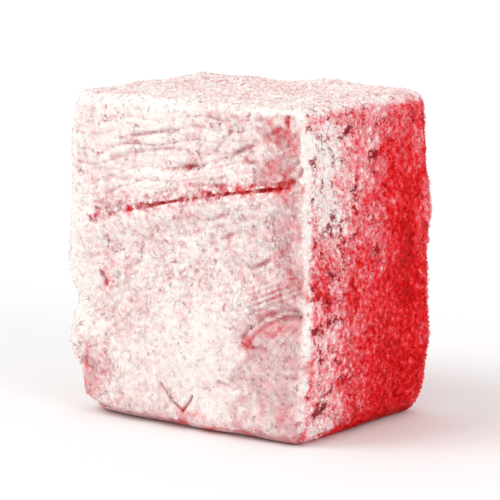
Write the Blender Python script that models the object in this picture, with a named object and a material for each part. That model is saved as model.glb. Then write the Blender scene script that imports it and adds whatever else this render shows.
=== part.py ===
"""Turkish delight cube: one piece of soft starch jelly, cut from a slab and dusted with sugar.

It stands on its cut base, upright, at its real size. The front (-Y) is the wide face that the
knife dragged into folds, and the near corner is between the front and the right face (+X).
Every place on the piece is worked out from a place on a plain block: the block's edges are
rounded, its level lines are bent along the deep fold, and the relief is pushed in or out.
"""

import math

import bmesh
import bpy
from mathutils import Vector, noise

MM = 0.001

# Driving dimensions of the plain block, before it is rounded and creased.
WIDTH = 23.7 * MM
DEPTH = 17.8 * MM
HEIGHT = 27.0 * MM
HALF_WIDTH = WIDTH / 2
HALF_DEPTH = DEPTH / 2

# Rounded edges. The base is rounder than the top, the near corner is the crispest, and the two
# front corners are worn where they meet the base.
TOP_RADIUS = 1.25 * MM
BASE_RADIUS = 1.8 * MM
BASE_RADIUS_REACH = 9.0 * MM
NEAR_CORNER_SHARE = 0.66
CORNER_REACH = 4.0 * MM
WORN_HEIGHT = 7.0 * MM
WORN_LEFT = 1.7 * MM
WORN_NEAR = 1.1 * MM
RADIUS_WAVER = 0.22
RADIUS_WAVER_SIZE = 5.0 * MM

# Slump: soft jelly swells low down, its top sinks a little in the middle, and it leans sideways.
SWELL = 0.32 * MM
SWELL_HEIGHT = 10.3 * MM
SWELL_REACH = 10.8 * MM
SWELL_BELOW = 1.6
TOP_DISH = 0.55 * MM
TOP_DISH_SHARE = 0.62
LEAN = 0.40 * MM

# The deep fold across the front. Its path is height against run, where run is the way round the
# walls: 0 at the middle of the front, positive to the right. Its upper lip hangs over it.
FOLD_LEFT = (-9.5 * MM, 16.7 * MM)
FOLD_MIDDLE = (0.2 * MM, 19.25 * MM)
FOLD_RIGHT = (10.2 * MM, 20.95 * MM)
FOLD_FADES_LEFT = (-15.0 * MM, -9.5 * MM)
FOLD_FADES_RIGHT = (8.6 * MM, 12.0 * MM)
FOLD_WRAP_FROM = 1.0 * MM
FOLD_WRAP = 9.0 * MM
FOLD_DEPTH = 0.95 * MM
FOLD_HALF = 0.42 * MM
FOLD_LEVEL = 0.75
FOLD_WAVER = 0.35
FOLD_WAVER_SIZE = 2.4 * MM
FOLD_SEED = 3.7
FOLD_LIP = 0.34 * MM
FOLD_LIP_AWAY = 1.15 * MM
FOLD_OVERHANG = 0.32 * MM
OVERHANG_AWAY = 0.5 * MM
OVERHANG_HALF = 0.7 * MM

# Drag wrinkles between the deep fold and the top edge, each fading in and out along its run.
WRINKLE_STEP = 0.95 * MM
WRINKLE_DEPTH = 0.30 * MM
WRINKLE_COUNT = 6
WRINKLE_FIRST = FOLD_MIDDLE[1] + 1.6 * WRINKLE_STEP
WRINKLE_WAVER = 0.55
WRINKLE_WAVER_SIZE = 7.0 * MM
WRINKLE_SEEDS = (5.3, 1.9)
WRINKLE_FADES_LEFT = (-16.0 * MM, -9.0 * MM)
WRINKLE_FADES_RIGHT = (4.0 * MM, 10.5 * MM)

# Furrows that leave the level lines: (depth, half width, points of the path as run and height in
# millimetres). They are the pocket low on the right, the furrow that climbs from the fold, the
# tear at the top right and the hook at the fold's end.
FURROWS = (
    (0.70 * MM, 0.80 * MM, ((5.0, 8.4), (6.6, 9.9), (9.0, 10.9), (11.0, 10.7))),
    (0.26 * MM, 0.75 * MM, ((-3.2, 21.2), (0.3, 21.8), (2.8, 22.5), (6.8, 24.1))),
    (0.42 * MM, 0.75 * MM, ((9.3, 24.7), (9.9, 26.0))),
    (0.40 * MM, 0.80 * MM, ((9.0, 20.6), (10.2, 21.3), (10.8, 22.6))),
)

# Dents and bulges in the walls: (run, height, radius along run, radius in height, push outward).
PRESSED = (
    (-11.8 * MM, 9.8 * MM, 2.6 * MM, 1.1 * MM, -0.42 * MM),
    (-12.2 * MM, 5.9 * MM, 2.6 * MM, 1.9 * MM, 0.36 * MM),
    (-12.0 * MM, 13.2 * MM, 2.8 * MM, 1.8 * MM, 0.34 * MM),
    (-12.4 * MM, 23.5 * MM, 2.6 * MM, 1.9 * MM, 0.24 * MM),
    (-3.0 * MM, 7.0 * MM, 6.0 * MM, 5.0 * MM, 0.36 * MM),
    (8.8 * MM, 5.4 * MM, 2.8 * MM, 3.6 * MM, -0.26 * MM),
    (9.0 * MM, 15.0 * MM, 3.0 * MM, 3.2 * MM, -0.20 * MM),
    (9.4 * MM, 23.4 * MM, 2.0 * MM, 1.7 * MM, -0.34 * MM),
    (12.3 * MM, 22.6 * MM, 1.3 * MM, 4.0 * MM, 0.30 * MM),
    (12.3 * MM, 8.0 * MM, 1.0 * MM, 8.0 * MM, 0.22 * MM),
    (17.0 * MM, 20.0 * MM, 3.2 * MM, 4.0 * MM, -0.22 * MM),
    (24.5 * MM, 12.0 * MM, 3.4 * MM, 6.0 * MM, -0.30 * MM),
    (19.6 * MM, 6.5 * MM, 4.0 * MM, 3.6 * MM, 0.26 * MM),
    (35.8 * MM, 17.0 * MM, 2.4 * MM, 2.6 * MM, -0.50 * MM),
    (39.0 * MM, 8.5 * MM, 4.5 * MM, 3.4 * MM, 0.34 * MM),
    (-37.2 * MM, 9.0 * MM, 3.0 * MM, 2.2 * MM, -0.36 * MM),
    (-20.8 * MM, 15.5 * MM, 2.2 * MM, 3.4 * MM, -0.45 * MM),
    (-24.8 * MM, 6.5 * MM, 3.6 * MM, 2.6 * MM, 0.28 * MM),
)

# Long shallow knife drags: on the walls that face away (run, height, half length, slope, push
# outward), and on the top (x, y, half length, slope, push outward).
WALL_DRAGS = (
    (36.4 * MM, 22.0 * MM, 5.5 * MM, 0.22, -0.30 * MM),
    (39.0 * MM, 12.4 * MM, 4.6 * MM, -0.16, -0.28 * MM),
    (-39.5 * MM, 18.5 * MM, 4.5 * MM, 0.30, -0.32 * MM),
    (-21.4 * MM, 22.0 * MM, 6.0 * MM, -0.12, -0.34 * MM),
    (-23.4 * MM, 10.6 * MM, 5.0 * MM, 0.15, -0.26 * MM),
)
TOP_DRAGS = (
    (-3.0 * MM, -3.6 * MM, 7.0 * MM, 0.10, -0.34 * MM),
    (2.5 * MM, 0.6 * MM, 7.5 * MM, 0.16, -0.28 * MM),
    (-2.0 * MM, 4.4 * MM, 6.5 * MM, 0.05, -0.36 * MM),
)
DRAG_HALF = 0.65 * MM

# Unevenness all over: (size of a lump, its height). The base stays flat.
LUMPS = ((7.0 * MM, 0.42 * MM), (3.1 * MM, 0.22 * MM), (1.7 * MM, 0.10 * MM))
UNDERSIDE = (0.3, 0.9)
ABOVE_BASE = (-0.2 * MM, 1.2 * MM)

# Mesh lines: closer at the rounded edges, along the fold and along the wrinkles.
EDGE_LINES = (0.42 * MM, 0.9 * MM, 1.6 * MM)
WIDTH_STEPS = 25
DEPTH_STEPS = 15
LOWER_STEPS = 12
FOLD_LINES = 4
FOLD_LINE_STEP = 0.36 * MM
LINES_PER_WRINKLE = 3
LINE_GAP = 0.2 * MM
SAME_PLACE = 0.001 * MM

SURFACE = (0.93, 0.62, 0.62, 1.0)
SURFACE_ROUGHNESS = 0.8
SMOOTH_BELOW_DEGREES = 70


def blend(low, high, value):
    """0 below low, 1 above high, and a smooth step between."""
    share = min(max((value - low) / (high - low), 0.0), 1.0)
    return share * share * (3 - 2 * share)


def hump(distance, half):
    """A smooth bump, 1 in the middle and about a third at half."""
    return math.exp(-((distance / half) ** 2))


def through(points, value):
    """The parabola through three points, read at value."""
    (x0, y0), (x1, y1), (x2, y2) = points
    share0 = (value - x1) * (value - x2) / ((x0 - x1) * (x0 - x2))
    share1 = (value - x0) * (value - x2) / ((x1 - x0) * (x1 - x2))
    share2 = (value - x0) * (value - x1) / ((x2 - x0) * (x2 - x1))
    return y0 * share0 + y1 * share1 + y2 * share2


def run_of(q):
    """The way round the walls at a point of the plain block, from the wall nearest to it."""
    walls = (
        (q.y + HALF_DEPTH, q.x),
        (HALF_WIDTH - q.x, HALF_WIDTH + HALF_DEPTH + q.y),
        (q.x + HALF_WIDTH, -HALF_WIDTH - HALF_DEPTH - q.y),
        (HALF_DEPTH - q.y, math.copysign(WIDTH + DEPTH - abs(q.x), q.x)),
    )
    return min(walls)[1]


def fold_drift(run, level):
    """How far a level line rises to follow the deep fold. It is 0 at the top and at the base."""
    inside = min(max(run, FOLD_LEFT[0]), FOLD_RIGHT[0])
    rise = through((FOLD_LEFT, FOLD_MIDDLE, FOLD_RIGHT), inside) - FOLD_MIDDLE[1]
    wrap = 1 - blend(HALF_WIDTH - FOLD_WRAP_FROM, HALF_WIDTH + FOLD_WRAP, abs(run))
    if level > FOLD_MIDDLE[1]:
        share = (HEIGHT - level) / (HEIGHT - FOLD_MIDDLE[1])
    else:
        share = level / FOLD_MIDDLE[1]
    return rise * wrap * share


def fold_strength(run):
    """1 across the front, fading round the left corner and before the near one."""
    return blend(*FOLD_FADES_LEFT, run) * (1 - blend(*FOLD_FADES_RIGHT, run))


def deep_fold(run, level):
    """The groove with a lip on each side."""
    away = level - FOLD_MIDDLE[1]
    waver = FOLD_LEVEL + FOLD_WAVER * noise.noise(Vector((run / FOLD_WAVER_SIZE, FOLD_SEED, 0)))
    lips = hump(away - FOLD_LIP_AWAY, FOLD_LIP_AWAY) + hump(away + FOLD_LIP_AWAY, FOLD_LIP_AWAY)
    return fold_strength(run) * (FOLD_LIP * lips - FOLD_DEPTH * waver * hump(away, FOLD_HALF))


def fold_overhang(run, level):
    """How far the upper lip hangs down over the groove."""
    away = level - FOLD_MIDDLE[1] - OVERHANG_AWAY
    return -FOLD_OVERHANG * fold_strength(run) * hump(away, OVERHANG_HALF)


def wrinkles(run, level):
    """The furrows between the deep fold and the top edge."""
    across = (level - WRINKLE_FIRST) / WRINKLE_STEP
    number = round(across)
    if not 0 <= number < WRINKLE_COUNT:
        return 0.0
    furrow = math.cos(math.pi * (across - number)) ** 2
    place = Vector((run / WRINKLE_WAVER_SIZE, number * WRINKLE_SEEDS[0], WRINKLE_SEEDS[1]))
    fade = 1 - WRINKLE_WAVER * (0.5 - noise.noise(place))
    ends = blend(*WRINKLE_FADES_LEFT, run) * (1 - blend(*WRINKLE_FADES_RIGHT, run))
    return -WRINKLE_DEPTH * furrow * fade * ends


def path_distance(points, run, height):
    """How far a place on the unrolled walls lies from a path, whose points are in millimetres."""
    nearest = HEIGHT
    for start, stop in zip(points, points[1:]):
        origin = Vector(start) * MM
        along = Vector(stop) * MM - origin
        place = Vector((run, height)) - origin
        share = min(max(place.dot(along) / along.length_squared, 0.0), 1.0)
        nearest = min(nearest, (place - along * share).length)
    return nearest


def furrows(run, height):
    """The furrows with paths of their own."""
    return sum(-depth * hump(path_distance(points, run, height), half) for depth, half, points in FURROWS)


def drag(along, across, half_length, slope, push):
    """One shallow knife drag, as a groove of fixed width that fades at its ends."""
    return push * hump(along, half_length) * hump(across - slope * along, DRAG_HALF)


def wall_relief(run, level, height):
    """All that is pressed or folded into the side walls, outward positive."""
    relief = deep_fold(run, level) + wrinkles(run, level) + furrows(run, height)
    for middle, mid_height, run_radius, height_radius, push in PRESSED:
        relief += push * hump(run - middle, run_radius) * hump(height - mid_height, height_radius)
    for middle, mid_height, half_length, slope, push in WALL_DRAGS:
        relief += drag(run - middle, height - mid_height, half_length, slope, push)
    away = height - SWELL_HEIGHT
    return relief + SWELL * hump(away * SWELL_BELOW if away < 0 else away, SWELL_REACH)


def top_relief(q):
    """The dished top with its drags, upward positive."""
    across = hump(q.x, TOP_DISH_SHARE * HALF_WIDTH)
    relief = -TOP_DISH * across * hump(q.y, TOP_DISH_SHARE * HALF_DEPTH)
    for x, y, half_length, slope, push in TOP_DRAGS:
        relief += drag(q.x - x, q.y - y, half_length, slope, push)
    return relief


def lumps(p):
    """Broad unevenness, the same in every direction."""
    return sum(high * noise.noise(p / size) for size, high in LUMPS)


def at_corner(q, side):
    """1 at the front corner on that side, 1 for the right and -1 for the left, and 0 away from it."""
    return hump(q.x - side * HALF_WIDTH, CORNER_REACH) * hump(q.y + HALF_DEPTH, CORNER_REACH)


def edge_radius(q):
    """The rounding radius near a point of the plain block."""
    near_corner = at_corner(q, 1)
    low = 1 - blend(0, BASE_RADIUS_REACH, q.z)
    radius = TOP_RADIUS + (BASE_RADIUS - TOP_RADIUS) * low
    radius *= 1 - (1 - NEAR_CORNER_SHARE) * near_corner
    worn = 1 - blend(0, WORN_HEIGHT, q.z)
    radius += worn * (WORN_LEFT * at_corner(q, -1) + WORN_NEAR * near_corner)
    return radius * (1 + RADIUS_WAVER * noise.noise(q / RADIUS_WAVER_SIZE))


def shaped(q):
    """Where a point of the plain block lies on the real piece."""
    radius = edge_radius(q)
    core = Vector((
        min(max(q.x, radius - HALF_WIDTH), HALF_WIDTH - radius),
        min(max(q.y, radius - HALF_DEPTH), HALF_DEPTH - radius),
        min(max(q.z, radius), HEIGHT - radius),
    ))
    outward = (q - core).normalized()
    run = run_of(q)
    on_wall = math.hypot(outward.x, outward.y)
    drift = on_wall * (fold_drift(run, q.z) + fold_overhang(run, q.z))
    relief = on_wall * wall_relief(run, q.z, q.z + drift) * blend(*ABOVE_BASE, q.z)
    relief += max(outward.z, 0.0) ** 2 * top_relief(q)
    relief += lumps(q) * (1 - blend(*UNDERSIDE, -outward.z))
    p = core + outward * (radius + relief)
    p.z += drift
    p.x += LEAN * 4 * (p.z / HEIGHT) * (1 - p.z / HEIGHT)
    p.z = max(p.z, 0.0)
    return p


def spread(start, stop, steps):
    """The lines that cut start to stop into equal steps, without its two ends."""
    return [start + (stop - start) * i / steps for i in range(1, steps)]


def lines_across(half, steps):
    """Mesh lines from side to side: close ones in the rounded edges, even ones between."""
    ends = [half - away for away in EDGE_LINES]
    return [-x for x in ends] + spread(-ends[-1], ends[-1], steps) + ends


def lines_up():
    """Mesh lines from base to top, in the levels that follow the fold and the wrinkles."""
    high = [HEIGHT - away for away in EDGE_LINES]
    around_fold = [FOLD_MIDDLE[1] + FOLD_LINE_STEP * i for i in range(-FOLD_LINES, FOLD_LINES + 1)]
    lower = spread(EDGE_LINES[-1], around_fold[0], LOWER_STEPS)
    step = WRINKLE_STEP / LINES_PER_WRINKLE
    upper = [WRINKLE_FIRST + step * i for i in range(LINES_PER_WRINKLE * WRINKLE_COUNT)]
    upper = [z for z in upper if z < min(high) - LINE_GAP]
    return list(EDGE_LINES) + lower + around_fold + upper + high


def slice_block(mesh, axis, lines):
    """Cuts the block's surface along a plane at each line."""
    normal = [float(axis == i) for i in range(3)]
    for line in lines:
        everything = mesh.verts[:] + mesh.edges[:] + mesh.faces[:]
        place = [line * n for n in normal]
        bmesh.ops.bisect_plane(mesh, geom=everything, dist=SAME_PLACE, plane_co=place, plane_no=normal)


def flatten_base(mesh):
    """Makes the flat of the base one face, for the piece to rest on."""
    flat = [face for face in mesh.faces if all(v.co.z < SAME_PLACE for v in face.verts)]
    bmesh.ops.dissolve_faces(mesh, faces=flat, use_verts=True)


def settle(mesh):
    """Moves the piece so that the middle of its outline is over the origin."""
    for axis in (0, 1):
        places = [v.co[axis] for v in mesh.verts]
        middle = (min(places) + max(places)) / 2
        for v in mesh.verts:
            v.co[axis] -= middle


def jelly_material():
    """Pale red jelly seen through its coat of fine sugar and starch."""
    material = bpy.data.materials.new("dusted_jelly")
    material.use_nodes = True
    shader = material.node_tree.nodes["Principled BSDF"]
    shader.inputs["Base Color"].default_value = SURFACE
    shader.inputs["Roughness"].default_value = SURFACE_ROUGHNESS
    shader.inputs["Metallic"].default_value = 0.0
    return material


def make_cube():
    """The whole sweet as one solid."""
    mesh = bmesh.new()
    bmesh.ops.create_cube(mesh, size=1.0)
    bmesh.ops.scale(mesh, vec=(WIDTH, DEPTH, HEIGHT), verts=mesh.verts)
    bmesh.ops.translate(mesh, vec=(0, 0, HEIGHT / 2), verts=mesh.verts)
    slice_block(mesh, 0, lines_across(HALF_WIDTH, WIDTH_STEPS))
    slice_block(mesh, 1, lines_across(HALF_DEPTH, DEPTH_STEPS))
    slice_block(mesh, 2, lines_up())
    for vertex in mesh.verts:
        vertex.co = shaped(vertex.co.copy())
    flatten_base(mesh)
    settle(mesh)
    bmesh.ops.recalc_face_normals(mesh, faces=mesh.faces)
    data = bpy.data.meshes.new("turkish_delight_cube")
    mesh.to_mesh(data)
    mesh.free()
    data.shade_smooth()
    data.set_sharp_from_angle(angle=math.radians(SMOOTH_BELOW_DEGREES))
    data.materials.append(jelly_material())
    cube = bpy.data.objects.new("turkish_delight_cube", data)
    bpy.context.scene.collection.objects.link(cube)


def main():
    for old in list(bpy.data.objects):
        bpy.data.objects.remove(old, do_unlink=True)
    make_cube()


main()
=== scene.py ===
"""Looks of the turkish delight cube: its sugared skin, the loose sugar on it, the light and the camera.

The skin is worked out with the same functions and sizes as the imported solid, on a finer grid, and
then gets what the solid leaves out: narrow creases, the thickness of the sugar and its grain.
Places on the walls are given as run, the way round them from the middle of the front, and height.
In the functions, q holds points of the plain block, and p the same points on the piece.
Lengths are in metres, apart from the tables that are said to be in millimetres.
"""

import math

import bmesh
import bpy
import numpy as np
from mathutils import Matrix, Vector, noise


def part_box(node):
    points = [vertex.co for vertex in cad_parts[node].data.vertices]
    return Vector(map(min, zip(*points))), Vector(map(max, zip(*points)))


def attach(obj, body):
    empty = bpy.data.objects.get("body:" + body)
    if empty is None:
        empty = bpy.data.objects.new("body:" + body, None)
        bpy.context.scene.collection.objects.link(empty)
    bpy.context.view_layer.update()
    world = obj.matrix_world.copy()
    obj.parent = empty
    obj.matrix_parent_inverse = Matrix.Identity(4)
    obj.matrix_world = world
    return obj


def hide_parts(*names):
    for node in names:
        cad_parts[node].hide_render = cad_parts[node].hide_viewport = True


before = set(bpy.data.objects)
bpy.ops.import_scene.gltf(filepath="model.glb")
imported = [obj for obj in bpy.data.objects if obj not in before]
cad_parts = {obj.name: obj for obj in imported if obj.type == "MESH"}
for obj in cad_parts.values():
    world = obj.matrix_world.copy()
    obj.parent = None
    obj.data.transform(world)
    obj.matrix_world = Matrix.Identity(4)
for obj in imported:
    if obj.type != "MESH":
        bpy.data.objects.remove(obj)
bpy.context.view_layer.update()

MM = 0.001
NODE = "turkish_delight_cube"

# The plain block, its rounded edges and its slump, as in the solid.
WIDTH = 23.7 * MM
DEPTH = 17.8 * MM
HEIGHT = 27.0 * MM
HALF_WIDTH = WIDTH / 2
HALF_DEPTH = DEPTH / 2
TOP_RADIUS = 1.25 * MM
BASE_RADIUS = 1.8 * MM
BASE_RADIUS_REACH = 9.0 * MM
NEAR_CORNER_SHARE = 0.66
CORNER_REACH = 4.0 * MM
WORN_HEIGHT = 7.0 * MM
WORN_LEFT = 1.7 * MM
WORN_NEAR = 1.1 * MM
RADIUS_WAVER = 0.22
RADIUS_WAVER_SIZE = 5.0 * MM
SWELL = 0.32 * MM
SWELL_HEIGHT = 10.3 * MM
SWELL_REACH = 10.8 * MM
SWELL_BELOW = 1.6
TOP_DISH = 0.55 * MM
TOP_DISH_SHARE = 0.62
LEAN = 0.40 * MM

# The deep fold across the front. Its groove is narrower than in the solid, and nearly closed in
# places: FOLD_OPEN says how far it gapes, as (run in millimetres, share).
FOLD_LEFT = (-9.5 * MM, 16.7 * MM)
FOLD_MIDDLE = (0.2 * MM, 19.25 * MM)
FOLD_RIGHT = (10.2 * MM, 20.95 * MM)
FOLD_FADES_LEFT = (-15.0 * MM, -9.5 * MM)
FOLD_FADES_RIGHT = (8.6 * MM, 12.0 * MM)
FOLD_WRAP_FROM = 1.0 * MM
FOLD_WRAP = 9.0 * MM
FOLD_DEPTH = 0.45 * MM
FOLD_HALF = 0.15 * MM
FOLD_OPEN = (
    (-12.0, 0.04), (-8.6, 0.12), (-4.6, 0.26), (-3.4, 0.90), (-1.0, 0.80), (0.2, 0.25), (2.6, 0.35),
    (3.8, 0.90), (5.2, 0.95), (6.4, 0.65), (7.6, 0.75), (9.3, 0.55), (10.6, 0.20), (11.6, 0.0),
)
FOLD_LEVEL = 0.75
FOLD_WAVER = 0.35
FOLD_WAVER_SIZE = 2.4 * MM
FOLD_SEED = 3.7
FOLD_LIP = 0.34 * MM
FOLD_LIP_AWAY = 1.15 * MM
FOLD_OVERHANG = 0.32 * MM
OVERHANG_AWAY = 0.5 * MM
OVERHANG_HALF = 0.7 * MM

# Drag wrinkles above the fold. They are sharper than in the solid, and waver more.
WRINKLE_STEP = 0.95 * MM
WRINKLE_DEPTH = 0.20 * MM
WRINKLE_SHARPNESS = 5.0
WRINKLE_BEND = 0.34 * MM
WRINKLE_BEND_SIZE = 2.8 * MM
WRINKLE_COUNT = 6
WRINKLE_FIRST = FOLD_MIDDLE[1] + 1.6 * WRINKLE_STEP
WRINKLE_WAVER = 0.70
WRINKLE_WAVER_SIZE = 7.0 * MM
WRINKLE_SEEDS = (5.3, 1.9)
WRINKLED = (FOLD_MIDDLE[1] - 0.5 * MM, FOLD_MIDDLE[1] + 0.5 * MM)
WRINKLE_FADES_LEFT = (-16.0 * MM, -9.0 * MM)
WRINKLE_FADES_RIGHT = (4.0 * MM, 10.5 * MM)

# Furrows, dents, bulges and drags, as in the solid.
FURROWS = (
    (0.70 * MM, 0.80 * MM, ((5.0, 8.4), (6.6, 9.9), (9.0, 10.9), (11.0, 10.7))),
    (0.26 * MM, 0.75 * MM, ((-3.2, 21.2), (0.3, 21.8), (2.8, 22.5), (6.8, 24.1))),
    (0.42 * MM, 0.75 * MM, ((9.3, 24.7), (9.9, 26.0))),
    (0.40 * MM, 0.80 * MM, ((9.0, 20.6), (10.2, 21.3), (10.8, 22.6))),
)
PRESSED = (
    (-11.8 * MM, 9.8 * MM, 2.6 * MM, 1.1 * MM, -0.42 * MM),
    (-12.2 * MM, 5.9 * MM, 2.6 * MM, 1.9 * MM, 0.36 * MM),
    (-12.0 * MM, 13.2 * MM, 2.8 * MM, 1.8 * MM, 0.34 * MM),
    (-12.4 * MM, 23.5 * MM, 2.6 * MM, 1.9 * MM, 0.24 * MM),
    (-3.0 * MM, 7.0 * MM, 6.0 * MM, 5.0 * MM, 0.36 * MM),
    (8.8 * MM, 5.4 * MM, 2.8 * MM, 3.6 * MM, -0.26 * MM),
    (9.0 * MM, 15.0 * MM, 3.0 * MM, 3.2 * MM, -0.20 * MM),
    (9.4 * MM, 23.4 * MM, 2.0 * MM, 1.7 * MM, -0.34 * MM),
    (12.3 * MM, 22.6 * MM, 1.3 * MM, 4.0 * MM, 0.30 * MM),
    (12.3 * MM, 8.0 * MM, 1.0 * MM, 8.0 * MM, 0.22 * MM),
    (17.0 * MM, 20.0 * MM, 3.2 * MM, 4.0 * MM, -0.22 * MM),
    (24.5 * MM, 12.0 * MM, 3.4 * MM, 6.0 * MM, -0.30 * MM),
    (19.6 * MM, 6.5 * MM, 4.0 * MM, 3.6 * MM, 0.26 * MM),
    (35.8 * MM, 17.0 * MM, 2.4 * MM, 2.6 * MM, -0.50 * MM),
    (39.0 * MM, 8.5 * MM, 4.5 * MM, 3.4 * MM, 0.34 * MM),
    (-37.2 * MM, 9.0 * MM, 3.0 * MM, 2.2 * MM, -0.36 * MM),
    (-20.8 * MM, 15.5 * MM, 2.2 * MM, 3.4 * MM, -0.45 * MM),
    (-24.8 * MM, 6.5 * MM, 3.6 * MM, 2.6 * MM, 0.28 * MM),
)
WALL_DRAGS = (
    (36.4 * MM, 22.0 * MM, 5.5 * MM, 0.22, -0.30 * MM),
    (39.0 * MM, 12.4 * MM, 4.6 * MM, -0.16, -0.28 * MM),
    (-39.5 * MM, 18.5 * MM, 4.5 * MM, 0.30, -0.32 * MM),
    (-21.4 * MM, 22.0 * MM, 6.0 * MM, -0.12, -0.34 * MM),
    (-23.4 * MM, 10.6 * MM, 5.0 * MM, 0.15, -0.26 * MM),
)
TOP_DRAGS = (
    (-3.0 * MM, -3.6 * MM, 7.0 * MM, 0.10, -0.34 * MM),
    (2.5 * MM, 0.6 * MM, 7.5 * MM, 0.16, -0.28 * MM),
    (-2.0 * MM, 4.4 * MM, 6.5 * MM, 0.05, -0.36 * MM),
)
DRAG_HALF = 0.65 * MM
LUMPS = ((7.0 * MM, 0.42 * MM), (3.1 * MM, 0.22 * MM), (1.7 * MM, 0.10 * MM))
UNDERSIDE = (0.3, 0.9)
ABOVE_BASE = (-0.2 * MM, 1.2 * MM)

# Narrow creases that only the skin has: (depth and half width in millimetres, how much sugar is
# missing in them, which also paints shade into them, points of the path as run and height in
# millimetres). CREASE_BREAKS is the size of the stretches where they keep their sugar.
CREASES = (
    # The pocket low on the right.
    (0.24, 0.17, 0.24, ((5.3, 8.4), (6.0, 9.1), (7.8, 10.4), (9.6, 11.1), (10.9, 11.2))),
    (0.20, 0.16, 0.22, ((6.2, 8.2), (7.6, 9.5), (9.4, 10.5), (11.0, 10.6))),
    (0.16, 0.16, 0.26, ((5.2, 8.5), (5.6, 7.9), (6.3, 7.7), (6.5, 8.1))),
    (0.16, 0.16, 0.24, ((6.6, 7.8), (7.9, 7.8))),
    # Among the wrinkles.
    (0.10, 0.14, 0.24, ((-9.8, 24.5), (-8.6, 24.6), (-7.5, 24.8))),
    (0.10, 0.15, 0.26, ((-6.8, 23.4), (-4.9, 23.8), (-3.1, 24.1), (-2.0, 24.3), (-0.7, 24.4))),
    (0.10, 0.14, 0.14, ((-5.3, 23.7), (-3.1, 24.1), (-1.8, 24.3))),
    (0.10, 0.15, 0.26, ((-9.1, 21.8), (-8.2, 22.3), (-7.0, 22.7), (-5.9, 23.0), (-4.7, 23.3))),
    (0.16, 0.14, 0.28, ((-7.5, 21.7), (-5.6, 22.3), (-3.3, 22.7), (-1.2, 23.0), (0.4, 22.9))),
    (0.12, 0.16, 0.22, ((-9.2, 20.7), (-7.9, 20.8))),
    (0.10, 0.15, 0.22, ((-9.1, 19.7), (-8.4, 19.9), (-7.0, 20.2), (-4.5, 20.1), (-3.6, 20.6))),
    (0.12, 0.14, 0.20, ((-2.7, 19.4), (-0.5, 19.8))),
    (0.10, 0.15, 0.22, ((-0.4, 20.1), (1.8, 20.4), (5.0, 20.6))),
    (0.14, 0.15, 0.24, ((-2.3, 21.1), (-0.5, 21.5), (1.1, 21.8))),
    (0.14, 0.18, 0.32, ((0.0, 21.6), (1.2, 21.8))),
    (0.13, 0.15, 0.26, ((1.8, 21.9), (3.5, 22.4), (5.2, 23.2), (6.6, 23.8))),
    (0.10, 0.14, 0.16, ((4.7, 22.9), (5.4, 23.3), (6.5, 23.8))),
    (0.10, 0.16, 0.16, ((1.8, 22.5), (3.2, 23.2), (4.0, 24.1), (4.7, 24.8))),
    (0.10, 0.16, 0.14, ((4.1, 24.2), (5.0, 24.9))),
    (0.14, 0.15, 0.30, ((6.1, 22.8), (6.5, 22.5), (6.9, 22.5))),
    # Round the barer place at the top right.
    (0.13, 0.15, 0.18, ((11.0, 23.1), (10.6, 22.6), (10.4, 22.4))),
    (0.14, 0.15, 0.18, ((11.5, 22.4), (10.9, 21.7), (10.2, 21.2), (9.2, 20.9))),
    (0.20, 0.16, 0.26, ((10.2, 27.0), (10.1, 26.5), (9.8, 26.1), (9.9, 25.6))),
    (0.12, 0.15, 0.24, ((9.2, 25.3), (8.6, 24.9), (8.1, 24.4), (9.0, 24.1))),
    # Below the deep fold.
    (0.12, 0.15, 0.22, ((2.6, 17.6), (4.7, 18.4), (5.9, 18.9))),
    (0.10, 0.15, 0.20, ((3.5, 16.2), (5.2, 16.8))),
    (0.16, 0.16, 0.36, ((6.5, 14.1), (7.6, 14.6), (8.1, 14.9))),
    # The two arms of a crack near the base, and short marks.
    (0.16, 0.14, 0.46, ((-2.3, 3.7), (-1.5, 2.6), (-0.2, 1.6))),
    (0.16, 0.15, 0.58, ((-0.2, 1.6), (0.4, 2.3), (0.8, 3.0))),
    (0.10, 0.15, 0.28, ((3.5, 4.6), (4.3, 4.4), (5.0, 4.1))),
    (0.10, 0.20, 0.66, ((-8.5, 12.2), (-8.2, 11.8), (-8.1, 11.3))),
    (0.08, 0.18, 0.30, ((2.0, 3.8), (2.6, 3.9))),
)
CREASE_WHOLE = 0.95
CREASE_UNEVEN = 0.7
CREASE_BREAKS = 1.3 * MM

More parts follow.
